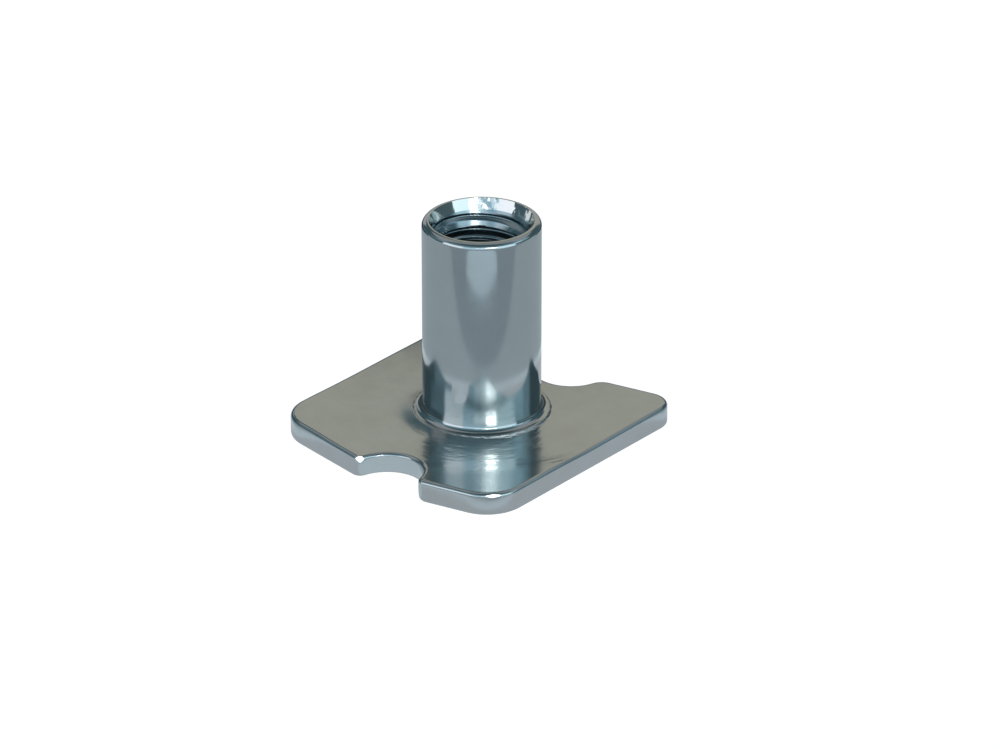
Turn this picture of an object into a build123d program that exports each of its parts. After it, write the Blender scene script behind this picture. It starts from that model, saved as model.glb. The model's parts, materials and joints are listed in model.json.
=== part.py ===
from build123d import *
import os
from math import radians, tan

# Tee nut drawn from one piece of strip: a barrel with a threaded bore stands on a chevron plate.
# Millimetres. The origin is on the bore's axis, in the plate's underside. +Z runs up the barrel to its
# mouth, -Y points to the plate's convex end and +Y to its hollow end. The bore is cut at the thread's
# minor diameter.

# Barrel
overall_height = 19.45
bore_diameter = 6.65
barrel_wall = 1.675
mouth_edge_round = 0.55
mouth_land = 0.05
countersink_angle = 48.0
entry_round = 1.2

# Collar that the draw leaves at the barrel's foot
collar_height = 0.2
foot_round = 0.6
collar_land = 0.2

# Plate, cut off the strip between two pilot holes
plate_thickness = 2.0
plate_width = 24.5
barrel_to_right_side = 11.75
barrel_to_pilot_line = 1.1
vee_slope = 11.2
pilot_diameter = 6.1
pilot_setback = 0.58
front_web = 4.8
back_web = 1.7

# Corners and edges of the plate
front_corner_round = 3.6
back_corner_round = 2.0
rolled_edge_round = 0.35
sheared_edge_bevel = 0.3
right_lip_flat_round = 0.3
left_lip_flat_round = 0.2
back_lip_round = 1.6

# Places that follow from the sizes above
bore_radius = bore_diameter / 2
barrel_radius = bore_radius + barrel_wall
mouth_radius = barrel_radius - mouth_edge_round - mouth_land
countersink_depth = (mouth_radius - bore_radius) / tan(radians(countersink_angle / 2))
collar_radius = barrel_radius + foot_round + collar_land
collar_top = plate_thickness + collar_height

pilot_radius = pilot_diameter / 2
right_side = barrel_to_right_side
left_side = right_side - plate_width
pilot_line = barrel_to_pilot_line
front_pilot = -(collar_radius + front_web + pilot_radius)
back_pilot = collar_radius + back_web + pilot_radius
front_tip = front_pilot - pilot_setback
back_tip = back_pilot - pilot_setback
left_rise = (pilot_line - left_side) * tan(radians(vee_slope))
right_rise = (right_side - pilot_line) * tan(radians(vee_slope))


def rounded(face, rounds):
    """The face with each of the named corners rounded by its own radius."""
    for corner, radius in rounds:
        face = fillet(face.vertices().sort_by_distance(corner)[0], radius)
    return face


def plate_outline():
    """Two parallel sides, a convex and a hollow V, and half of a pilot hole in each V."""
    front_left = (left_side, front_tip + left_rise)
    front_right = (right_side, front_tip + right_rise)
    back_right = (right_side, back_tip + right_rise)
    back_left = (left_side, back_tip + left_rise)
    chevron = make_face(
        Polyline(
            front_left,
            (pilot_line, front_tip),
            front_right,
            back_right,
            (pilot_line, back_tip),
            back_left,
            close=True,
        )
    )
    pilot_hole = Circle(pilot_radius)
    outline = chevron - Pos(pilot_line, front_pilot) * pilot_hole - Pos(pilot_line, back_pilot) * pilot_hole
    return rounded(
        outline,
        [
            (front_left, front_corner_round),
            (front_right, front_corner_round),
            (back_right, back_corner_round),
            (back_left, back_corner_round),
            ((pilot_line - pilot_radius, front_tip), rolled_edge_round + left_lip_flat_round),
            ((pilot_line + pilot_radius, front_tip), rolled_edge_round + right_lip_flat_round),
            ((pilot_line - pilot_radius, back_tip), back_lip_round),
            ((pilot_line + pilot_radius, back_tip), back_lip_round),
        ],
    )


def plate():
    """The flat plate: its top edges are rolled over by the cut, and its lower edges have a fine bevel."""
    blank = extrude(plate_outline(), plate_thickness)
    blank = fillet(blank.edges().group_by(Axis.Z)[-1], rolled_edge_round)
    return chamfer(blank.edges().group_by(Axis.Z)[0], sheared_edge_bevel)


def barrel():
    """The drawn tube: rounded entry below, collar and fillet at the foot, countersunk mouth on top."""
    entry = (bore_radius, 0)
    foot = (barrel_radius, collar_top)
    mouth_edge = (barrel_radius, overall_height)
    section = make_face(
        Polyline(
            entry,
            (collar_radius, 0),
            (collar_radius, collar_top),
            foot,
            mouth_edge,
            (mouth_radius, overall_height),
            (bore_radius, overall_height - countersink_depth),
            close=True,
        )
    )
    section = rounded(
        section,
        [
            (entry, entry_round),
            (foot, foot_round),
            (mouth_edge, mouth_edge_round),
        ],
    )
    return revolve(Plane.XZ * section, Axis.Z)


def tee_nut():
    """Barrel and plate as the one drawn piece."""
    opening = extrude(Circle(barrel_radius), plate_thickness)
    return plate() - opening + barrel()


os.makedirs("parts", exist_ok=True)
export_step(tee_nut(), "parts/tee_nut.step")
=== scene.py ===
import json
import math
from typing import NamedTuple

import bmesh
import bpy
from bpy.props import FloatProperty, FloatVectorProperty, PointerProperty
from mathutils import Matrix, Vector
from mathutils.geometry import delaunay_2d_cdt
from mathutils.kdtree import KDTree


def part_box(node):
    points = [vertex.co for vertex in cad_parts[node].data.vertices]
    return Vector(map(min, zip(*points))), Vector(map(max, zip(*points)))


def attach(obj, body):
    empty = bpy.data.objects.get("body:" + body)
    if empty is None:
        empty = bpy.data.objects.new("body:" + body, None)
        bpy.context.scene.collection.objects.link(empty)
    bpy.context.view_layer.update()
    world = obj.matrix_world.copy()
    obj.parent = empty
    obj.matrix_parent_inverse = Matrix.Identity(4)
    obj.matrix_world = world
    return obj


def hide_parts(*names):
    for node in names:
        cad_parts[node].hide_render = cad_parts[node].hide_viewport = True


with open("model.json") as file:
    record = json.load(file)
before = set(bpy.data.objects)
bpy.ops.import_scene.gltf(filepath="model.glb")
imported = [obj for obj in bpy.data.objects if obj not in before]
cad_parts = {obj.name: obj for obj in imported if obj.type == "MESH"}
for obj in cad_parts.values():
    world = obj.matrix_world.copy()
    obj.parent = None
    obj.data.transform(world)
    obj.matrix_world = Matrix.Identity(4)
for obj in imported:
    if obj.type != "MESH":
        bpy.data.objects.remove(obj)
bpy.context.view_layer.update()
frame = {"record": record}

bl_info = {
    "name": "Tee Nut",
    "version": (1, 0, 0),
    "blender": (4, 5, 0),
    "location": "View3D > Sidebar > Tee Nut",
    "description": "Builds a zinc plated tee nut, a threaded barrel on a chevron plate, and its stage",
    "category": "Mesh",
}

# The nut is one piece, so one mesh takes the place of its one solid. Metres, in the solid's own frame: the
# bore's axis is Z, the plate lies on Z = 0, -Y is the plate's convex end.
NODE = "tee_nut"
MM = 0.001
NODE_LOW, NODE_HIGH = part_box(NODE)
MOUNTS = {mount["name"]: mount for mount in frame["record"]["mounts"]}

# How finely the mesh is cut
TURN_STEPS = 240          # round the barrel
ARC_STEPS = 8             # over each rounded edge, seen in section
WALL_STEP = 0.25 * MM     # up the barrel's wall
EDGE_STEPS = 48           # along each straight edge of the plate
CORNER_STEPS = 36         # round each corner, lip and notch of the plate
SHEAR_STEP = 0.15 * MM    # up the plate's wall
FILL_STEP = 0.8 * MM      # across the plate's flats
RING_STEP = 0.3 * MM      # across the press mark round the collar
FLAT_MARGIN = 0.05 * MM   # narrow band that keeps a rounded edge's shading off the flat beside it
WELD = 0.0001 * MM        # points nearer than this become one
CONE_STEPS = 4            # down the countersink
SPARE_TURNS = 2           # turns built past each end of the thread, which fall onto that end and are welded
RIM_CLEARANCE = 0.9 * RING_STEP    # nearest that a free point of a flat lies to the flat's rim
SAME_POINT = 1e-6         # millimetres within which the filling of a flat takes two points as one
INSIDE_RIMS = 1           # what the filling of a flat gives back: only what the rims enclose
SHARP_ANGLE = 40.0        # degrees between two faces from which their edge looks sharp
CARD_STEPS = 16           # along each side of a curved card
DISC_STEPS = 64           # round a round card

# Where the thread's turns bend: pitches from the middle of a crest, and the share of the depth there.
# The tap has left both crests and roots round.
THREAD_HALF_SHARES = (
    (0.0, 0.0),
    (0.07, 0.012),
    (0.13, 0.07),
    (0.18, 0.18),
    (0.25, 0.42),
    (0.35, 0.8),
    (0.42, 0.96),
)
THREAD_ROOT_SHARES = ((0.5, 1.0),)
THREAD_RISE_SHARES = tuple((1.0 - at, depth) for at, depth in reversed(THREAD_HALF_SHARES[1:]))
THREAD_SHARES = THREAD_HALF_SHARES + THREAD_ROOT_SHARES + THREAD_RISE_SHARES

# How a mark fades about the bore's axis: its share square to its bearing, and what is added straight toward
# the bearing. The sum is kept between 0 and 1.
CHATTER_SHARES = (-4.0, 5.0)
SKIRT_SHARES = (-0.3, 1.3)
SWING_SHARES = (2.5, -2.5)
MARK_SHARES = (0.5, 0.9)
CHATTER_LEAST = 0.15      # share of the chatter that is added all round

# An uneven line round the bore: how many waves each part of it has in a turn, and the angle it begins at
RAGGED_WAVES = ((23, 1.0), (41, 2.3), (71, 0.7))

# Patterns in the zinc plate
CLOUD_MM = 5.0            # width of the clouds in its colour
GLOSS_MM = 1.6            # width of the patches in its gloss
NOISE_SPAN = (0.3, 0.7)   # values between which nearly all of a noise lies
RING_ARC = 1.8 * MM       # a radian of arc in the pattern of rings, short so that its marks are long
RING_SPAN = (0.3, 0.8)    # cosines of the angle from their bearing over which the rings come in

# How the grain's pattern is scaled along X, Y and Z. A small number draws it out into lines that way.
EVEN = (1.0, 1.0, 1.0)
UPRIGHT = (1.0, 1.0, 0.15)
SHORT_UPRIGHT = (1.0, 1.0, 0.3)
ALONG_STRIP = (1.0, 0.2, 1.0)

# Sockets of the mix node that hold colours
MIX_FIRST = 6
MIX_SECOND = 7
MIX_RESULT = 2

BEHIND = 180              # degrees from the camera to the nut's far side


def linear(hex_colour):
    """Linear RGB of an sRGB hex colour."""
    channels = [int(hex_colour[i:i + 2], 16) / 255 for i in (1, 3, 5)]
    return tuple(c / 12.92 if c <= 0.04045 else ((c + 0.055) / 1.055) ** 2.4 for c in channels)


def length(name, description, default):
    """A property that holds a length in metres."""
    return FloatProperty(name=name, description=description, default=default, unit="LENGTH", precision=5)


def angle(name, description, degrees):
    """A property that holds an angle, whose default is given in degrees."""
    return FloatProperty(name=name, description=description, default=math.radians(degrees), subtype="ANGLE")


def colour(name, description, hex_colour):
    """A property that holds a colour, whose default is given in sRGB hex."""
    return FloatVectorProperty(
        name=name, description=description, default=linear(hex_colour), subtype="COLOR", min=0.0, max=1.0
    )


class TeeNutSizes(bpy.types.PropertyGroup):
    """Sizes of the nut."""

    height: length("Height", "From the plate's underside to the barrel's mouth", NODE_HIGH.z)
    barrel_radius: length("Barrel radius", "Outside of the barrel", MOUNTS["barrel"]["dims"]["r_mm"] * MM)
    bore_radius: length("Bore radius", "The thread's crests", MOUNTS["thread"]["dims"]["r_mm"] * MM)
    thread_depth: length("Thread depth", "From the thread's crests to its roots", 0.675 * MM)
    pitch: length("Pitch", "Rise of the thread in one turn", 1.25 * MM)
    thread_start: angle("Thread start", "How far the thread is turned about the bore", 144.0)
    mouth_round: length("Mouth round", "Rounding of the mouth's outer edge", 0.55 * MM)
    mouth_land: length("Mouth land", "Flat ring between that rounding and the countersink", 0.05 * MM)
    countersink: angle("Countersink", "Angle of the countersink from wall to wall", 48.0)
    chatter: length("Chatter", "Depth of the marks that the countersink has left", 0.05 * MM)
    chatter_bearing: angle("Chatter bearing", "Where those marks are deepest, from the -Y side", 184.0)
    entry_round: length("Entry round", "Rounding where the bore opens in the underside", 1.2 * MM)
    foot_round: length("Foot round", "Hollow rounding between barrel and collar", 0.6 * MM)
    collar_land: length("Collar land", "Flat ring outside that rounding", 0.2 * MM)
    collar_height: length("Collar height", "How far the collar stands above the plate", 0.2 * MM)
    collar_edge: length("Collar edge", "Rounding of the collar's rim and of the corner below it", 0.1 * MM)
    collar_wear: length("Collar wear", "How far the collar's rim strays where it is torn", 0.045 * MM)

    thickness: length("Plate thickness", "Thickness of the plate", MOUNTS["plate_top"]["pos_m"][2])
    left_side: length("Left side", "X of the plate's left side", NODE_LOW.x)
    right_side: length("Right side", "X of the plate's right side", NODE_HIGH.x)
    pilot_line: length("Pilot line", "X of the two half-round notches", 1.1 * MM)
    pilot_radius: length("Pilot radius", "Radius of the notches", 3.05 * MM)
    front_pilot: length("Front pilot", "Y of the front notch's centre", -13.65 * MM)
    back_pilot: length("Back pilot", "Y of the back notch's centre", 10.55 * MM)
    pilot_setback: length("Pilot setback", "From a notch's centre forward to the point of its V", 0.58 * MM)
    vee_slope: angle("V slope", "Slope of the plate's ends", 11.2)
    front_corner: length("Front corner", "Rounding of the two front corners", 3.6 * MM)
    back_corner: length("Back corner", "Rounding of the two back corners", 2.0 * MM)
    left_lip: length("Left lip", "Rounding of the front notch's left lip", 0.55 * MM)
    right_lip: length("Right lip", "Rounding of the front notch's right lip", 0.65 * MM)
    back_lip: length("Back lips", "Rounding of the back notch's two lips", 1.6 * MM)
    lip_roll: length("Lip roll", "How much rounder the front lips are at the underside", 0.45 * MM)
    lip_roll_height: length("Lip roll height", "Height above the underside at which that begins", 1.3 * MM)
    rolled_edge: length("Rolled edge", "Rounding of the plate's upper edge", 0.35 * MM)
    lower_edge: length("Lower edge", "Rounding of the plate's lower edge", 0.3 * MM)
    mark_depth: length("Press mark depth", "Depth of the ring pressed round the collar", 0.14 * MM)
    mark_start: length("Press mark start", "Radius at which that ring begins to fall", 5.95 * MM)
    mark_middle: length("Press mark middle", "Radius of its lowest line", 9.1 * MM)
    mark_end: length("Press mark end", "Radius at which the plate is flat again", 11.8 * MM)
    mark_bearing: angle("Press mark bearing", "Where the ring is deepest, from the -Y side", 14.8)
    mark_swing: length("Press mark swing", "How much further out it lies at the plate's sides", 3.0 * MM)
    swing_bearing: angle("Swing bearing", "Where it lies nearest, from the -Y side", 45.0)
    skirt_height: length("Skirt height", "How far the draw has pulled the plate up the collar", 0.19 * MM)
    skirt_width: length("Skirt width", "Width of that climb", 2.0 * MM)
    skirt_bearing: angle("Skirt bearing", "Where it climbs highest, from the -Y side", -14.0)
    nick_bearing: angle("Nick bearing", "Way that the knocked flats face, from the -Y side", 48.0)
    nick_rise: angle("Nick rise", "How far those flats lean up", 23.7)
    corner_nick: length("Corner nick", "Depth of the flat on the right front corner", 0.05 * MM)
    lip_nick: length("Lip nick", "Depth of the flat on the front notch's left lip", 0.13 * MM)


class TeeNutFinish(bpy.types.PropertyGroup):
    """Colours of the zinc plate."""

    zinc: colour("Zinc", "Clear blue passivated zinc", "#C6CDCF")
    zinc_cloud: colour("Zinc cloud", "Thicker passivation, a little darker and warmer", "#B9BDBA")
    zinc_cut: colour("Cut zinc", "Brighter plate on surfaces that a tool has cut", "#EDE6DD")
    # Darker zinc for the tapped bore: painted shade of the recess
    zinc_bore_shade: colour("Thin zinc", "Thin plate in the bore, where little current reaches", "#9DABAF")


class TeeNutStage(bpy.types.PropertyGroup):
    """Camera, floor, cards and soft lights."""

    azimuth: angle("Azimuth", "Camera's turn about the nut, from the -Y side", 39.787)
    elevation: angle("Elevation", "Camera's height above the horizon", 26.749)
    distance: length("Distance", "From the nut's origin to the camera", 0.5)
    focal_length: FloatProperty(
        name="Focal length",
        description="Of the camera's lens",
        default=213.35,
        subtype="DISTANCE_CAMERA",
    )
    sensor_width: FloatProperty(
        name="Sensor width",
        description="Of the camera",
        default=36.0,
        subtype="DISTANCE_CAMERA",
    )
    centre_right: length("Centre right", "How far right of the origin the picture's centre lies", 1.53 * MM)
    centre_up: length("Centre up", "How far above the origin the picture's centre lies", 4.598 * MM)
    floor_size: length("Floor size", "Width of the floor", 6.0)
    floor_drop: length("Floor drop", "How far the floor lies below the nut", 0.05 * MM)
    layer: length("Layer", "From one card on the floor up to the next", 0.005 * MM)
    mat_radius: length("Mat radius", "Of the mat", 18.5 * MM)
    mat_near_radius: length("Near mat radius", "Of the mat's dimmer middle", 17.0 * MM)
    shelf_width: length("Shelf width", "Of the dark shelf", 0.2)
    shelf_height: length("Shelf height", "Of the dark shelf", 17.5 * MM)
    shelf_distance: length("Shelf distance", "From the nut back to the shelf", 45.0 * MM)
    ceiling_width: length("Ceiling width", "Of the light overhead", 1.0)
    ceiling_depth: length("Ceiling depth", "Of the light overhead", 0.8)
    ceiling_distance: length("Ceiling distance", "From the nut to that light", 0.9)
    ceiling_rise: angle("Ceiling rise", "Height of that light above the horizon, behind the nut", 70.0)
    floor: colour("Floor", "White paper", "#FFFFFF")
    mat: colour("Mat", "Pale mat that the metal sees round the nut", "#D1DDE7")
    mat_near: colour("Near mat", "Dimmer middle of that mat, where the nut shades it", "#BFC6CD")
    notch_patch: colour("Notch patch", "Light that falls through the front notch", "#CFDCE5")
    bench: colour("Bench", "Bench that the metal sees beyond the mat", "#AAB7BE")
    bench_shade: colour("Bench shade", "Shaded front of that bench", "#94A0AA")
    bench_patch: colour("Bench patch", "Lighter patch in that shade", "#C7DAE6")
    backdrop: colour("Backdrop", "Warm grey card that the plate's top sees behind the nut", "#B5B3A8")
    wall: colour("Wall", "Grey wall low behind the nut", "#B7BABF")
    shelf: colour("Shelf", "Dark low shelf at the nut's back", "#3C4A52")
    sky: colour("Sky", "Soft blue light in front of the nut", "#A2C8DA")
    haze: colour("Haze", "Paler light low in front of the nut, to the left", "#EBF4FF")
    window_left: colour("Window left", "Blue part of the window, to the left", "#CBEBFF")
    window: colour("Window", "Bright window in front of the nut", "#FCFEFF")
    window_side: colour("Window side", "Dimmer part of the window, to the right", "#D5F1FF")
    ceiling: colour("Ceiling", "Soft light overhead", "#E8F0F5")
    room: colour("Room", "Dim room beyond the cards", "#4A626B")


class Skin:
    """Points and faces of the nut's one closed skin, with the finish of each face."""

    def __init__(self):
        self.points = []
        self.faces = []
        self.finishes = []

    def ring(self, points):
        """Adds points and returns their numbers."""
        first = len(self.points)
        self.points.extend(points)
        return range(first, len(self.points))

    def band(self, lower, upper, finish, shut=True):
        """Joins two rows of points, each as long as the other, with a row of faces."""
        for i in range(len(lower) if shut else len(lower) - 1):
            j = (i + 1) % len(lower)
            self.faces.append((lower[i], lower[j], upper[j], upper[i]))
            self.finishes.append(finish)

    def bands(self, rings, finish):
        """Joins each ring of a list to the next."""
        for lower, upper in zip(rings, rings[1:]):
            self.band(lower, upper, finish)


def turned(skin, profile):
    """A ring about the bore's axis for each radius and height of a profile."""
    rings = []
    for radius, height in profile:
        turns = (math.tau * i / TURN_STEPS for i in range(TURN_STEPS))
        rings.append(skin.ring([(radius * math.cos(t), radius * math.sin(t), height) for t in turns]))
    return rings


def ragged(turn):
    """Uneven line round a full turn, between -1 and 1."""
    return sum(math.sin(waves * turn + start) for waves, start in RAGGED_WAVES) / len(RAGGED_WAVES)


def strayed(skin, ring, depth, bearing=None):
    """Moves the points of a ring in and out by about a depth, all round or mostly toward a bearing."""
    for i, number in enumerate(ring):
        x, y, z = skin.points[number]
        share = 1.0 if bearing is None else facing(x, y, bearing, CHATTER_SHARES) + CHATTER_LEAST
        grown = 1.0 + depth * share * ragged(math.tau * i / TURN_STEPS + z / MM) / math.hypot(x, y)
        skin.points[number] = x * grown, y * grown, z


def section_arc(radius, height, bend, first, last, steps=ARC_STEPS):
    """Radii and heights on an arc about a point of the section, from one angle in degrees to another."""
    angles = [math.radians(first + (last - first) * i / steps) for i in range(steps + 1)]
    return [(radius + bend * math.cos(a), height + bend * math.sin(a)) for a in angles]


def wall_profile(sizes):
    """Outside of the barrel, from the countersink's edge over the mouth to the foot, and of the collar."""
    s = sizes
    mouth = s.barrel_radius - s.mouth_round
    collar_top = s.thickness + s.collar_height
    foot = collar_top + s.foot_round
    collar = s.barrel_radius + s.foot_round + s.collar_land
    edge = s.collar_edge
    rim = [(mouth - s.mouth_land, s.height)]
    rim += section_arc(mouth, s.height - s.mouth_round, s.mouth_round, 90, 0, 2 * ARC_STEPS)
    rows = round((s.height - s.mouth_round - foot) / WALL_STEP)
    drop = (s.height - s.mouth_round - foot) / rows
    wall = [(s.barrel_radius, s.height - s.mouth_round - drop * i) for i in range(1, rows)]
    foot_arc = section_arc(s.barrel_radius + s.foot_round, foot, s.foot_round, 180, 270, 2 * ARC_STEPS)
    collar_rim = section_arc(collar - edge, collar_top - edge, edge, 90, 0, ARC_STEPS // 2)
    collar_corner = section_arc(collar + edge, s.thickness + edge, edge, 180, 270, ARC_STEPS // 2)
    return rim + wall + foot_arc, foot_arc[-1:] + collar_rim + collar_corner


def thread_radius(sizes, height, pitches):
    """Radius inside the barrel at a height, at a place on the thread's form counted in pitches."""
    s = sizes
    place = pitches % 1.0
    for (near, low), (far, high) in zip(THREAD_SHARES, THREAD_SHARES[1:] + ((1.0, 0.0),)):
        if near <= place <= far:
            depth = low + (high - low) * (place - near) / (far - near)
            break
    mouth = s.barrel_radius - s.mouth_round - s.mouth_land
    cone = mouth - (s.height - height) * math.tan(s.countersink / 2)
    entry = s.bore_radius
    if height < s.entry_round:
        entry += s.entry_round - math.sqrt(s.entry_round ** 2 - (s.entry_round - height) ** 2)
    return max(s.bore_radius + depth * s.thread_depth, cone, entry)


def thread_ends(sizes):
    """Heights at which the entry's rounding and the countersink are as wide as the thread's roots."""
    s = sizes
    left = s.entry_round - s.thread_depth
    low = s.entry_round - math.sqrt(s.entry_round ** 2 - left ** 2)
    mouth = s.barrel_radius - s.mouth_round - s.mouth_land
    high = s.height - (mouth - s.bore_radius - s.thread_depth) / math.tan(s.countersink / 2)
    return low, high


def thread_rows(skin, sizes):
    """Rows of points that climb with the thread, so that its crests and roots are clean lines."""
    s = sizes
    low, high = thread_ends(s)
    first = math.floor(low / s.pitch) - SPARE_TURNS
    last = math.ceil(high / s.pitch) + SPARE_TURNS
    start = s.thread_start / math.tau
    rows = []
    for turn in range(first, last):
        for place, _ in THREAD_SHARES:
            row = []
            for i in range(TURN_STEPS):
                share = i / TURN_STEPS
                around = math.tau * share
                height = min(max((turn + place + share - start) * s.pitch, low), high)
                radius = thread_radius(s, height, height / s.pitch - share + start)
                row.append((radius * math.cos(around), radius * math.sin(around), height))
            rows.append(skin.ring(row))
    return rows


def thread_bands(skin, rows, finish):
    """Joins the climbing rows. After one turn a row meets the row that is one pitch above it."""
    rise = len(THREAD_SHARES)
    for lower, upper in zip(rows, rows[1:]):
        skin.band(lower, upper, finish, shut=False)
    for k in range(len(rows) - rise - 1):
        skin.faces.append((rows[k][-1], rows[k + rise][0], rows[k + rise + 1][0], rows[k + 1][-1]))
        skin.finishes.append(finish)


def outward(start, end):
    """Outward normal of an edge of a counter-clockwise outline."""
    along = (end - start).normalized()
    return Vector((along.y, -along.x))


def corner_centre(corner, before, after, radius):
    """Centre of a corner's rounding, from the normals of the edges before and after it."""
    return corner - (before + after) * (radius / (1.0 + before.dot(after)))


def lip_centre(point, along, normal, pilot, pilot_radius, radius):
    """Centre of the rounding between the notch in the point of a V and an edge that runs from that point."""
    start = point - normal * radius - pilot
    part = start.dot(along)
    run = math.sqrt(part ** 2 - start.length_squared + (pilot_radius + radius) ** 2) - part
    return pilot + start + along * run


def edge_arc(centre, radius, first, last, hollow):
    """Points and outward normals on a rounded part of the outline, from one normal to another."""
    begin = math.atan2(first.y, first.x)
    turn = (math.atan2(last.y, last.x) - begin) % math.tau
    if hollow:
        turn -= math.tau
    angles = (begin + turn * i / CORNER_STEPS for i in range(CORNER_STEPS + 1))
    normals = [Vector((math.cos(a), math.sin(a))) for a in angles]
    reach = -radius if hollow else radius
    return [(centre + reach * normal, normal) for normal in normals]


def plate_outline(sizes, lip_roll):
    """Points and outward normals round the chevron plate, counter-clockwise from its left front corner."""
    s = sizes
    left_round = s.left_lip + lip_roll
    right_round = s.right_lip + lip_roll
    slope = math.tan(s.vee_slope)
    front = Vector((s.pilot_line, s.front_pilot))
    back = Vector((s.pilot_line, s.back_pilot))
    setback = Vector((0.0, s.pilot_setback))
    front_point = front - setback
    back_point = back - setback
    left_run = s.left_side - s.pilot_line
    right_run = s.right_side - s.pilot_line
    front_left = front_point + Vector((left_run, -left_run * slope))
    front_right = front_point + Vector((right_run, right_run * slope))
    back_left = back_point + Vector((left_run, -left_run * slope))
    back_right = back_point + Vector((right_run, right_run * slope))

    to_left = (front_left - front_point).normalized()
    to_right = (front_right - front_point).normalized()
    left = outward(back_left, front_left)
    front_left_edge = outward(front_left, front_point)
    front_right_edge = outward(front_point, front_right)
    right = outward(front_right, back_right)

    left_lip = lip_centre(front_point, to_left, front_left_edge, front, s.pilot_radius, left_round)
    right_lip = lip_centre(front_point, to_right, front_right_edge, front, s.pilot_radius, right_round)
    back_right_lip = lip_centre(back_point, to_right, -front_right_edge, back, s.pilot_radius, s.back_lip)
    back_left_lip = lip_centre(back_point, to_left, -front_left_edge, back, s.pilot_radius, s.back_lip)

    def corner(at, before, after, radius):
        return corner_centre(at, before, after, radius), radius, before, after, False

    def lip(centre, before, after, radius):
        return centre, radius, before, after, False

    def notch(pilot, before, after):
        return pilot, s.pilot_radius, before, after, True

    into_front = (front - left_lip).normalized(), (front - right_lip).normalized()
    into_back = (back - back_right_lip).normalized(), (back - back_left_lip).normalized()
    arcs = (
        corner(front_left, left, front_left_edge, s.front_corner),
        lip(left_lip, front_left_edge, into_front[0], left_round),
        notch(front, *into_front),
        lip(right_lip, into_front[1], front_right_edge, right_round),
        corner(front_right, front_right_edge, right, s.front_corner),
        corner(back_right, right, -front_right_edge, s.back_corner),
        lip(back_right_lip, -front_right_edge, into_back[0], s.back_lip),
        notch(back, *into_back),
        lip(back_left_lip, into_back[1], -front_left_edge, s.back_lip),
        corner(back_left, -front_left_edge, left, s.back_corner),
    )
    outline = []
    for arc in arcs:
        points = edge_arc(*arc)
        if outline:
            outline += straight(outline[-1], points[0])
        outline += points
    outline += straight(outline[-1], outline[0])
    return outline


def straight(start, end):
    """Points and normals between the ends of two rounded parts, which are left out."""
    (near, normal), (far, _) = start, end
    return [(near.lerp(far, i / EDGE_STEPS), normal) for i in range(1, EDGE_STEPS)]


def edge_rings(skin, sizes, profile):
    """A ring round the plate for each inset and height of a profile. The front lips get rounder downward."""
    s = sizes
    outlines = zip(plate_outline(s, 0.0), plate_outline(s, s.lip_roll))
    pairs = [(point, normal, low - point) for (point, normal), (low, _) in outlines]
    rings = []
    for inset, height in profile:
        fall = max(0.0, 1.0 - height / s.lip_roll_height)
        share = 1.0 - math.sqrt(1.0 - fall ** 2)
        places = (point + shift * share - normal * inset for point, normal, shift in pairs)
        rings.append(skin.ring([(p.x, p.y, height) for p in places]))
    return rings


def inside(point, loop):
    """Whether a point lies inside a closed loop of points."""
    within = False
    for a, b in zip(loop, loop[1:] + loop[:1]):
        if (a.y > point.y) != (b.y > point.y):
            crossing = a.x + (b.x - a.x) * (point.y - a.y) / (b.y - a.y)
            if point.x < crossing:
                within = not within
    return within


def grid():
    """Points spread evenly over the plate."""
    columns = range(math.floor(NODE_LOW.x / FILL_STEP), math.ceil(NODE_HIGH.x / FILL_STEP))
    rows = range(math.floor(NODE_LOW.y / FILL_STEP), math.ceil(NODE_HIGH.y / FILL_STEP))
    return [Vector((column + (row % 2) / 2, row)) * FILL_STEP for column in columns for row in rows]


def circles(near, far):
    """Points on circles about the bore's axis, from one radius to another."""
    points = []
    for k in range(math.floor((far - near) / RING_STEP)):
        radius = near + (k + 1) * RING_STEP
        for i in range(TURN_STEPS // 2):
            turn = math.tau * (i + (k % 2) / 2) / (TURN_STEPS // 2)
            points.append(Vector((radius * math.cos(turn), radius * math.sin(turn))))
    return points


def fill(skin, outer, inner, free, finish, reach=0.0, pressed_finish=0):
    """Fills a flat between two rings with triangles on the free points that lie between them.

    Faces that lie within a reach of the bore's axis have the pressed finish.
    """
    loops = [[Vector(skin.points[i][:2]) for i in ring] for ring in (outer, inner)]
    height = skin.points[outer[0]][2]
    edges = [(i, (i + 1) % len(outer)) for i in range(len(outer))]
    edges += [(len(outer) + i, len(outer) + (i + 1) % len(inner)) for i in range(len(inner))]
    rim = loops[0] + loops[1]
    near = KDTree(len(rim))
    for i, point in enumerate(rim):
        near.insert((point.x, point.y, 0.0), i)
    near.balance()
    clear = [p for p in free if near.find((p.x, p.y, 0.0))[2] > RIM_CLEARANCE]
    between = [p for p in clear if inside(p, loops[0]) and not inside(p, loops[1])]
    flat = [p / MM for p in rim + between]
    points, _, faces, *_ = delaunay_2d_cdt(flat, edges, [], INSIDE_RIMS, SAME_POINT)
    numbers = skin.ring([(p.x * MM, p.y * MM, height) for p in points])
    for face in faces:
        middle = sum((points[i] for i in face), Vector((0.0, 0.0))) * (MM / len(face))
        if not inside(middle, loops[1]):
            skin.faces.append([numbers[i] for i in face])
            skin.finishes.append(pressed_finish if middle.length < reach else finish)


def facing(x, y, bearing, shares):
    """Share of a mark at a point, from 0 to 1, by the angle between the point's and the mark's bearing."""
    level, gain = shares
    return min(1.0, max(0.0, level + gain * math.cos(math.atan2(x, -y) - bearing)))


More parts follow.
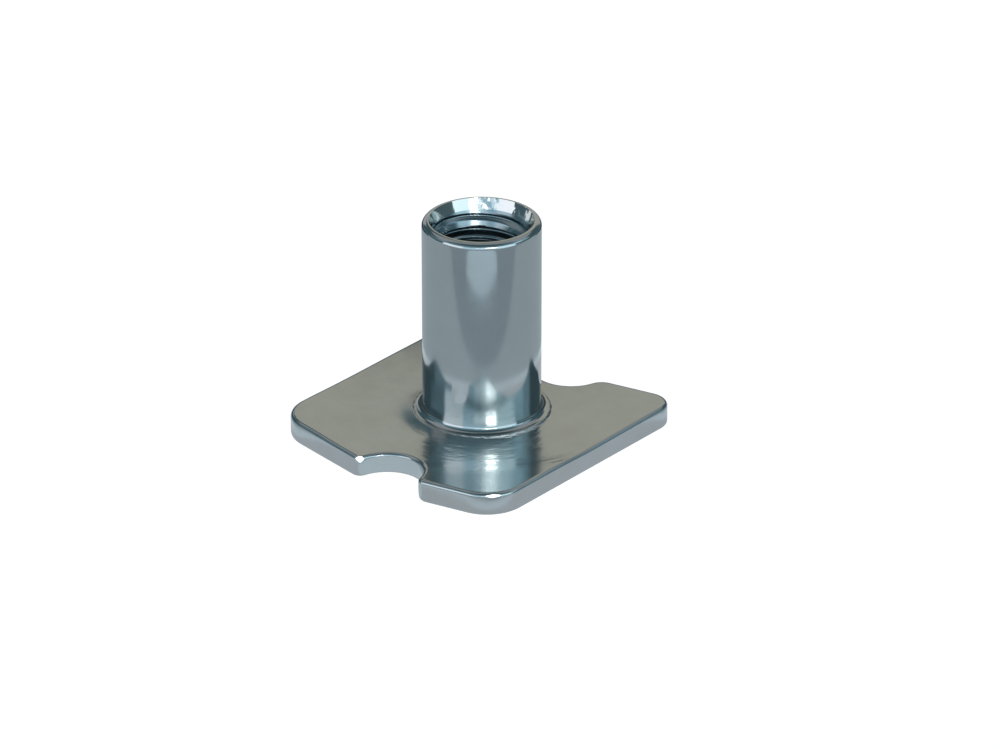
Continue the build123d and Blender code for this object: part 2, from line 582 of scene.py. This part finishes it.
def pressed(sizes, x, y, z):
    """A point of the plate's upper half, moved as the press has left the plate round the collar."""
    s = sizes
    reach = math.hypot(x, y)
    collar = s.barrel_radius + s.foot_round + s.collar_land
    if z > s.thickness + s.collar_height - WELD or z < s.thickness / 2 or reach < collar - s.collar_edge:
        return x, y, z
    climb = max(0.0, 1.0 - max(0.0, reach - collar) / s.skirt_width) ** 2
    climb *= s.skirt_height * facing(x, y, s.skirt_bearing, SKIRT_SHARES)
    swing = s.mark_swing * facing(x, y, s.swing_bearing, SWING_SHARES)
    middle, end = s.mark_middle + swing, s.mark_end + swing
    if reach < s.mark_start or reach > end:
        share = 0.0
    elif reach < middle:
        share = 1.0 - ((middle - reach) / (middle - s.mark_start)) ** 2
    else:
        left = (end - reach) / (end - middle)
        share = left ** 2 * (3.0 - 2.0 * left)
    drop = s.mark_depth * share * facing(x, y, s.mark_bearing, MARK_SHARES)
    above_middle = min(1.0, 2.0 * z / s.thickness - 1.0)
    climbed = max(z, s.thickness + climb) if climb else z
    return x, y, climbed - drop * above_middle


def knocked(sizes, points):
    """The points with a small flat on the right front corner and one on the front notch's left lip."""
    s = sizes
    level = math.cos(s.nick_rise)
    across = math.sin(s.nick_bearing) * level, -math.cos(s.nick_bearing) * level
    away = Vector((*across, math.sin(s.nick_rise)))
    lip = s.pilot_line - s.pilot_radius
    front = s.front_pilot + s.front_corner
    moved = [Vector(point) for point in points]
    for left, right, depth in (
        (s.right_side - s.front_corner, s.right_side, s.corner_nick),
        (lip - 2 * s.left_lip, lip + s.left_lip, s.lip_nick),
    ):
        near = [p for p in moved if left < p.x < right and p.y < front and p.z > 0.0]
        reach = max(away.dot(p) for p in near) - depth
        for p in near:
            p -= away * max(0.0, away.dot(p) - reach)
    return moved


def nut_mesh(sizes, finishes):
    """The whole nut as one closed mesh. Raises an error if the skin has a gap."""
    s = sizes
    place = {name: i for i, name in enumerate(finishes)}
    skin = Skin()

    # Outside: mouth, wall and foot, then the collar down to the plate
    wall, collar = (turned(skin, profile) for profile in wall_profile(s))
    skin.bands(wall, place["drawn"])
    skin.bands(collar, place["collar"])
    for ring in collar[1:-1]:
        strayed(skin, ring, s.collar_wear)

    # Inside: countersink, thread, entry
    low, high = thread_ends(s)
    mouth = s.barrel_radius - s.mouth_round - s.mouth_land
    root = s.bore_radius + s.thread_depth
    shares = [i / CONE_STEPS for i in range(CONE_STEPS + 1)]
    cone = [(mouth + (root - mouth) * share, s.height + (high - s.height) * share) for share in shares]
    cone_rings = turned(skin, cone)
    skin.bands(cone_rings, place["countersunk"])
    for ring in cone_rings[1:-1]:
        strayed(skin, ring, s.chatter, s.chatter_bearing)
    thread_bands(skin, thread_rows(skin, s), place["threaded"])
    lowest = math.degrees(math.asin((low - s.entry_round) / s.entry_round))
    entry = section_arc(s.bore_radius + s.entry_round, s.entry_round, s.entry_round, 180 - lowest, 270)
    entry_rings = turned(skin, entry + [(entry[-1][0] + FLAT_MARGIN, 0.0)])
    skin.bands(entry_rings, place["rolled"])

    # Plate: sheared wall between a rolled upper edge and a fine lower one, then the two flats
    upper = section_arc(-s.rolled_edge, s.thickness - s.rolled_edge, s.rolled_edge, 0, 90)
    lower = section_arc(-s.lower_edge, s.lower_edge, s.lower_edge, 270, 360, ARC_STEPS // 2)
    rows = round((upper[0][1] - lower[-1][1]) / SHEAR_STEP)
    shear = [(0.0, lower[-1][1] + (upper[0][1] - lower[-1][1]) * i / rows) for i in range(1, rows)]
    margin_top = (-s.rolled_edge - FLAT_MARGIN, s.thickness)
    margin_low = (-s.lower_edge - FLAT_MARGIN, 0.0)
    profile = [margin_low] + lower + shear + upper + [margin_top]
    edge = edge_rings(skin, s, [(-reach, height) for reach, height in profile])
    sheared = len(profile) - len(upper)
    skin.bands(edge[:sheared], place["sheared"])
    skin.bands(edge[sheared - 1:], place["rolled"])
    collar_foot = Vector(skin.points[collar[-1][0]][:2]).length
    margin = turned(skin, [(collar_foot, s.thickness), (collar_foot + FLAT_MARGIN, s.thickness)])
    skin.bands(margin, place["pressed"])
    free = circles(collar_foot + FLAT_MARGIN, s.mark_end)
    free += [p for p in grid() if p.length > s.mark_end + RING_STEP]
    fill(skin, edge[-1], margin[-1], free, place["rolled"], s.mark_end, place["pressed"])
    fill(skin, edge[0], entry_rings[-1], grid(), place["rolled"])
    skin.points = knocked(s, [pressed(s, *point) for point in skin.points])

    mesh = bpy.data.meshes.new("tee_nut_skin")
    mesh.from_pydata(skin.points, [], skin.faces)
    mesh.polygons.foreach_set("material_index", skin.finishes)
    for material in finishes.values():
        mesh.materials.append(material)
    shell = bmesh.new()
    shell.from_mesh(mesh)
    bmesh.ops.remove_doubles(shell, verts=shell.verts, dist=WELD)
    bmesh.ops.recalc_face_normals(shell, faces=shell.faces)
    gaps = sum(1 for edge in shell.edges if not edge.is_manifold)
    shell.to_mesh(mesh)
    shell.free()
    if gaps:
        raise RuntimeError(f"the nut's skin has {gaps} open edges")
    mesh.shade_smooth()
    mesh.set_sharp_from_angle(angle=math.radians(SHARP_ANGLE))
    return mesh


def emptied(owner):
    """Node tree of a material or a world, without nodes."""
    owner.use_nodes = True
    owner.node_tree.nodes.clear()
    return owner.node_tree


def add(tree, kind, inputs=(), **settings):
    """Adds a shader node with its settings. An input that is given a socket is linked, any other is set."""
    made = tree.nodes.new("ShaderNode" + kind)
    for name, value in settings.items():
        setattr(made, name, value)
    for key, value in dict(inputs).items():
        if isinstance(value, bpy.types.NodeSocket):
            tree.links.new(value, made.inputs[key])
        else:
            made.inputs[key].default_value = value
    return made


def per_mm(size):
    """Scale of a pattern, on coordinates in metres, whose features are so many millimetres apart."""
    return 1.0 / (size * MM)


def zinc_material(name, tones, roughness, spread, grain_mm, depth_mm, stretch, rings_toward=None):
    """Zinc plate over steel: cloudy in colour and gloss, with the grain of the steel below it.

    The grain lies along X, Y and Z, or in rings about the bore's axis that show toward one bearing.
    """
    material = bpy.data.materials.new(name)
    tree = emptied(material)
    spot = add(tree, "TexCoord").outputs["Object"]
    cloud = add(
        tree,
        "TexNoise",
        {"Vector": spot, "Scale": per_mm(CLOUD_MM), "Detail": 4.0, "Roughness": 0.6},
    )
    tint = add(
        tree,
        "Mix",
        {"Factor": cloud.outputs["Fac"], MIX_FIRST: (*tones[0], 1.0), MIX_SECOND: (*tones[1], 1.0)},
        data_type="RGBA",
    )
    gloss = add(
        tree,
        "TexNoise",
        {"Vector": spot, "Scale": per_mm(GLOSS_MM), "Detail": 5.0, "Roughness": 0.65},
    )
    rough = add(
        tree,
        "MapRange",
        {
            "Value": gloss.outputs["Fac"],
            "From Min": NOISE_SPAN[0],
            "From Max": NOISE_SPAN[1],
            "To Min": roughness - spread,
            "To Max": roughness + spread,
        },
    )
    strength = 1.0
    if rings_toward is not None:
        part = add(tree, "SeparateXYZ", {"Vector": spot}).outputs
        turn = add(tree, "Math", {0: part["Y"], 1: part["X"]}, operation="ARCTAN2").outputs["Value"]
        arc = add(tree, "Math", {0: turn, 1: RING_ARC}, operation="MULTIPLY").outputs["Value"]
        reach = add(tree, "VectorMath", {0: spot}, operation="LENGTH").outputs["Value"]
        spot = add(tree, "CombineXYZ", {"X": reach, "Y": arc, "Z": part["Z"]}).outputs["Vector"]
        # A bearing counts from -Y, the turn from +X
        off = add(tree, "Math", {0: turn, 1: rings_toward - math.pi / 2}, operation="SUBTRACT")
        toward = add(tree, "Math", {0: off.outputs["Value"]}, operation="COSINE")
        fade = {"Value": toward.outputs["Value"], "From Min": RING_SPAN[0], "From Max": RING_SPAN[1]}
        strength = add(tree, "MapRange", fade).outputs["Result"]
    along = add(tree, "Mapping", {"Vector": spot, "Scale": stretch})
    grain = add(
        tree,
        "TexNoise",
        {"Vector": along.outputs["Vector"], "Scale": per_mm(grain_mm), "Detail": 3.0, "Roughness": 0.6},
    )
    bump = add(
        tree,
        "Bump",
        {"Height": grain.outputs["Fac"], "Strength": strength, "Distance": depth_mm * MM},
    )
    shader = add(
        tree,
        "BsdfPrincipled",
        {
            "Base Color": tint.outputs[MIX_RESULT],
            "Metallic": 1.0,
            "Roughness": rough.outputs["Result"],
            "Normal": bump.outputs["Normal"],
        },
    )
    add(tree, "OutputMaterial", {"Surface": shader.outputs["BSDF"]})
    return material


def nut_finishes(finish, rings_toward):
    """Materials of the nut's surfaces, by the way each was made.

    All are bright zinc with a clear blue passivation, the tapped bore's darkened as painted shade. Their
    grain is drawn coarser than a real one, which is too fine to show.
    """
    plain = finish.zinc, finish.zinc_cloud
    cut = finish.zinc_cut, finish.zinc
    # The tapped bore's darker tone is painted shade
    bore_shade = finish.zinc_bore_shade, finish.zinc_bore_shade
    return {
        # Drawn through a die: bright and smooth, with faint lines up the wall.
        "drawn": zinc_material(
            "zinc_plated_drawn_steel", plain,
            roughness=0.12, spread=0.03, grain_mm=0.35, depth_mm=0.0006, stretch=UPRIGHT,
        ),
        # Torn a little at the foot of the draw: bright, but uneven.
        "collar": zinc_material(
            "zinc_plated_torn_steel", cut,
            roughness=0.24, spread=0.06, grain_mm=0.16, depth_mm=0.05, stretch=EVEN,
        ),
        # Cut by a countersink: the brightest surface, with fine lines down the cone.
        "countersunk": zinc_material(
            "zinc_plated_countersunk_steel", cut,
            roughness=0.07, spread=0.02, grain_mm=0.3, depth_mm=0.002, stretch=UPRIGHT,
        ),
        # Cut by a tap: a darker colour, painted shade of the deep bore, with soft glints along the turns.
        "threaded": zinc_material(
            "zinc_plated_tapped_steel", bore_shade,
            roughness=0.22, spread=0.05, grain_mm=0.25, depth_mm=0.001, stretch=EVEN,
        ),
        # Pressed flat round the collar: glossy, with rings on one side that the press has left.
        "pressed": zinc_material(
            "zinc_plated_pressed_steel", plain,
            roughness=0.19, spread=0.03, grain_mm=0.6, depth_mm=0.045, stretch=EVEN,
            rings_toward=rings_toward,
        ),
        # Rolled strip: satin, with a faint grain along the strip.
        "rolled": zinc_material(
            "zinc_plated_rolled_steel", plain,
            roughness=0.18, spread=0.03, grain_mm=0.3, depth_mm=0.0003, stretch=ALONG_STRIP,
        ),
        # Sheared by the cut-off tool: satin, with short lines up the wall.
        "sheared": zinc_material(
            "zinc_plated_sheared_steel", plain,
            roughness=0.22, spread=0.05, grain_mm=0.3, depth_mm=0.0015, stretch=SHORT_UPRIGHT,
        ),
    }


def seen_material(name, tone, strength, diffuse):
    """Paper that looks white to the camera and to metal, and still takes the nut's shadow."""
    material = bpy.data.materials.new(name)
    tree = emptied(material)
    path = add(tree, "LightPath").outputs
    direct = add(
        tree,
        "Math",
        {0: path["Is Camera Ray"], 1: path["Is Glossy Ray"]},
        operation="MAXIMUM",
    )
    seen = add(
        tree,
        "Math",
        {0: direct.outputs["Value"], 1: path["Is Transmission Ray"]},
        operation="MAXIMUM",
    )
    white = add(tree, "Math", {0: seen.outputs["Value"], 1: strength}, operation="MULTIPLY")
    paper = add(tree, "BsdfDiffuse", {"Color": (*(channel * diffuse for channel in tone), 1.0)})
    glow = add(tree, "Emission", {"Color": (*tone, 1.0), "Strength": white.outputs["Value"]})
    both = add(tree, "AddShader", {0: paper.outputs["BSDF"], 1: glow.outputs["Emission"]})
    add(tree, "OutputMaterial", {"Surface": both.outputs["Shader"]})
    return material


def card_material(name, tone, strength=1.0):
    """Plain card of one even brightness."""
    material = bpy.data.materials.new(name)
    tree = emptied(material)
    glow = add(tree, "Emission", {"Color": (*tone, 1.0), "Strength": strength})
    add(tree, "OutputMaterial", {"Surface": glow.outputs["Emission"]})
    return material


def staged(name, mesh, material):
    """An object of the stage, made of one mesh and one material."""
    mesh.materials.append(material)
    made = bpy.data.objects.new(name, mesh)
    bpy.context.scene.collection.objects.link(made)
    return made


def sheet(name, width, depth, material):
    """A flat sheet on the stage, facing up."""
    x, y = width / 2, depth / 2
    mesh = bpy.data.meshes.new(name)
    mesh.from_pydata([(-x, -y, 0.0), (x, -y, 0.0), (x, y, 0.0), (-x, y, 0.0)], [], [(0, 1, 2, 3)])
    return staged(name, mesh, material)


def seen_by_metal_only(card):
    """Leaves a card out of all that the camera and the floor see."""
    card.visible_camera = False
    card.visible_diffuse = False
    card.visible_transmission = False
    card.visible_shadow = False


def bearing(stage, turn, rise):
    """Direction from the nut, turned in degrees to the camera's right and raised above the horizon."""
    azimuth = stage.azimuth + math.radians(turn)
    rise = math.radians(rise)
    return Vector((math.sin(azimuth) * math.cos(rise), -math.cos(azimuth) * math.cos(rise), math.sin(rise)))


def disc(name, tone, radius, centre, height):
    """A round card on the floor, seen by the metal alone."""
    turns = [math.tau * i / DISC_STEPS for i in range(DISC_STEPS)]
    points = [(radius * math.cos(turn), radius * math.sin(turn), 0.0) for turn in turns]
    mesh = bpy.data.meshes.new(name)
    mesh.from_pydata(points, [], [range(DISC_STEPS)])
    card = staged(name, mesh, card_material(name, tone))
    card.location = *centre, height
    seen_by_metal_only(card)


def laid(stage, name, tone, width, near, far, height, turn=0.0):
    """A card on the floor, seen by the metal alone, from one distance toward the camera to another."""
    card = sheet(name, width, far - near, card_material(name, tone))
    card.rotation_euler.z = stage.azimuth + math.radians(turn)
    card.location = bearing(stage, 0, 0) * ((near + far) / 2) + Vector((0.0, 0.0, height))
    seen_by_metal_only(card)


class Card(NamedTuple):
    """A curved card or soft light that faces the nut."""

    name: str
    colour: str               # which of the stage's colours it has
    strength: float
    turns: tuple              # degrees to the camera's right, from side to side
    rises: tuple              # degrees above the horizon, from lower to upper edge
    distance: float           # metres from the nut


# What the nut mirrors behind it, seen by the metal alone
BACK_CARDS = (
    Card("backdrop", "backdrop", 1.1, (156, 189), (16, 48), 0.4),
    Card("wall", "wall", 1.0, (148, 212), (-6, 25), 0.45),
)

# Soft lights in front of the nut and at its sides
CARDS = (
    Card("sky", "sky", 0.5, (-76, 100), (20, 50), 0.8),
    Card("sky_middle", "sky", 1.0, (-76, 66), (0, 31), 0.78),
    Card("sky_right", "sky", 1.5, (66, 86), (22, 36), 0.78),
    Card("dusk_right", "sky", 0.85, (86, 106), (27, 40), 0.78),
    Card("dusk_left", "sky", 0.6, (-104, -76), (27, 40), 0.78),
    Card("low_right", "sky", 1.0, (66, 104), (18, 24.5), 0.76),
    Card("low_left", "sky", 0.6, (-116, -76), (18, 24.5), 0.76),
    Card("haze", "haze", 1.44, (-76, -36), (0, 28), 0.72),
    Card("window_left", "window_left", 1.16, (-36, 8), (0, 25), 0.72),
    Card("window_strip", "window", 3.0, (-14, 8), (21.5, 24), 0.7),
    Card("window", "window", 11.0, (8, 27), (18, 24), 0.7),
    Card("window_side", "window_side", 1.5, (27, 66), (0, 25), 0.71),
    Card("window_top", "window_side", 1.25, (0, 60), (25, 33), 0.72),
    Card("wall_left", "wall", 0.8, (-150, -86), (38, 62), 0.75),
    Card("wall_right", "wall", 0.8, (86, 150), (38, 62), 0.75),
)


def spaced(span):
    """Evenly spaced values from one end of a span to the other."""
    low, high = span
    return [low + (high - low) * i / CARD_STEPS for i in range(CARD_STEPS + 1)]


def hang(stage, card):
    """Hangs one of the curved cards round the nut."""
    columns = spaced(card.turns)
    rows = spaced(card.rises)
    points = [bearing(stage, turn, rise) * card.distance for rise in rows for turn in columns]
    wide = len(columns)
    corners = [row * wide + column for row in range(CARD_STEPS) for column in range(CARD_STEPS)]
    mesh = bpy.data.meshes.new(card.name)
    mesh.from_pydata(points, [], [(i, i + 1, i + wide + 1, i + wide) for i in corners])
    tone = getattr(stage, card.colour)
    hung = staged(card.name, mesh, card_material(card.name, tone, card.strength))
    hung.visible_camera = False
    return hung


def lay_floor(stage, sizes):
    """White floor, with cards a hair above it that give the metal a bench and a mat to mirror."""
    paper = seen_material("white_paper", stage.floor, strength=0.95, diffuse=0.3)
    floor = sheet("floor", stage.floor_size, stage.floor_size, paper)
    floor.location.z = -stage.floor_drop

    def height(layers):
        return layers * stage.layer - stage.floor_drop

    laid(stage, "bench", stage.bench, width=2.0, near=-1.0, far=1.0, height=height(2))
    laid(
        stage, "bench_shade", stage.bench_shade,
        width=0.3, near=21.8 * MM, far=80.0 * MM, height=height(3), turn=3.5,
    )
    laid(
        stage, "bench_patch", stage.bench_patch,
        width=40.0 * MM, near=36.0 * MM, far=60.0 * MM, height=height(4),
    )
    disc("mat", stage.mat, stage.mat_radius, (0.0, 0.0), height(5))
    disc("mat_near", stage.mat_near, stage.mat_near_radius, (0.0, 0.0), height(6))
    notch = sizes.pilot_line, sizes.front_pilot
    disc("notch_patch", stage.notch_patch, sizes.pilot_radius, notch, height(7))


def stand_shelf(stage):
    """Dark shelf that stands close behind the nut, seen by the metal alone."""
    shelf = sheet("shelf", stage.shelf_width, stage.shelf_height, card_material("shelf", stage.shelf))
    middle = Vector((0.0, 0.0, stage.shelf_height / 2))
    shelf.location = bearing(stage, BEHIND, 0) * stage.shelf_distance + middle
    shelf.rotation_euler = bearing(stage, 0, 0).to_track_quat("Z", "Y").to_euler()
    seen_by_metal_only(shelf)


def hang_ceiling(stage):
    """Soft light overhead, which faces down."""
    light = card_material("ceiling", stage.ceiling, strength=0.4)
    ceiling = sheet("ceiling", stage.ceiling_width, stage.ceiling_depth, light)
    ceiling.location = bearing(stage, BEHIND, math.degrees(stage.ceiling_rise)) * stage.ceiling_distance
    ceiling.rotation_euler.z = stage.azimuth
    ceiling.visible_camera = False


def fill_room(scene):
    """Dim even room beyond the cards."""
    room = bpy.data.worlds.new("room")
    tree = emptied(room)
    air = add(tree, "Background", {"Color": (*scene.tee_nut_stage.room, 1.0), "Strength": 1.0})
    add(tree, "OutputWorld", {"Surface": air.outputs["Background"]})
    scene.world = room


def place_camera(scene):
    """Camera at the photo's angle, aimed a little above and beside the nut's origin."""
    stage = scene.tee_nut_stage
    lens = bpy.data.cameras.new("camera")
    lens.lens = stage.focal_length
    lens.sensor_width = stage.sensor_width
    camera = bpy.data.objects.new("camera", lens)
    scene.collection.objects.link(camera)
    back = bearing(stage, 0, math.degrees(stage.elevation))
    aim = (-back).to_track_quat("-Z", "Y") @ Vector((stage.centre_right, stage.centre_up, 0.0))
    camera.location = back * stage.distance
    camera.rotation_euler = (aim - camera.location).to_track_quat("-Z", "Y").to_euler()
    scene.camera = camera


class MESH_OT_tee_nut(bpy.types.Operator):
    """Build the tee nut: threaded barrel, collar and chevron plate in one skin"""

    bl_idname = "mesh.tee_nut"
    bl_label = "Tee Nut"
    bl_options = {"REGISTER", "UNDO"}

    def execute(self, context):
        scene = context.scene
        sizes = scene.tee_nut_sizes
        mesh = nut_mesh(sizes, nut_finishes(scene.tee_nut_finish, sizes.swing_bearing))
        nut = bpy.data.objects.new("tee_nut_plated", mesh)
        scene.collection.objects.link(nut)
        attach(nut, "root")
        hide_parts(NODE)
        return {"FINISHED"}


class SCENE_OT_tee_nut_stage(bpy.types.Operator):
    """Set up the pale floor, the cards and soft lights, and the camera"""

    bl_idname = "scene.tee_nut_stage"
    bl_label = "Tee Nut Stage"
    bl_options = {"REGISTER", "UNDO"}

    def execute(self, context):
        scene = context.scene
        stage = scene.tee_nut_stage
        lay_floor(stage, scene.tee_nut_sizes)
        for card in BACK_CARDS:
            seen_by_metal_only(hang(stage, card))
        stand_shelf(stage)
        for card in CARDS:
            hang(stage, card)
        hang_ceiling(stage)
        fill_room(scene)
        place_camera(scene)
        scene.view_settings.view_transform = "Standard"
        return {"FINISHED"}


class VIEW3D_PT_tee_nut(bpy.types.Panel):
    """Tee nut's sizes, colours and stage"""

    bl_label = "Tee Nut"
    bl_space_type = "VIEW_3D"
    bl_region_type = "UI"
    bl_category = "Tee Nut"

    def draw(self, context):
        for group, operator in (
            (context.scene.tee_nut_sizes, None),
            (context.scene.tee_nut_finish, MESH_OT_tee_nut),
            (context.scene.tee_nut_stage, SCENE_OT_tee_nut_stage),
        ):
            column = self.layout.column(align=True)
            for name in group.bl_rna.properties.keys():
                if name not in {"rna_type", "name"}:
                    column.prop(group, name)
            if operator:
                self.layout.operator(operator.bl_idname)


CLASSES = (
    TeeNutSizes,
    TeeNutFinish,
    TeeNutStage,
    MESH_OT_tee_nut,
    SCENE_OT_tee_nut_stage,
    VIEW3D_PT_tee_nut,
)


def register():
    """Makes the classes and the scene's properties known to Blender."""
    for cls in CLASSES:
        bpy.utils.register_class(cls)
    bpy.types.Scene.tee_nut_sizes = PointerProperty(type=TeeNutSizes)
    bpy.types.Scene.tee_nut_finish = PointerProperty(type=TeeNutFinish)
    bpy.types.Scene.tee_nut_stage = PointerProperty(type=TeeNutStage)


def unregister():
    """Takes back what register has made known."""
    del bpy.types.Scene.tee_nut_stage
    del bpy.types.Scene.tee_nut_finish
    del bpy.types.Scene.tee_nut_sizes
    for cls in reversed(CLASSES):
        bpy.utils.unregister_class(cls)


def main():
    """Builds the nut and its stage."""
    register()
    bpy.ops.mesh.tee_nut()
    bpy.ops.scene.tee_nut_stage()


if __name__ == "__main__":
    main()
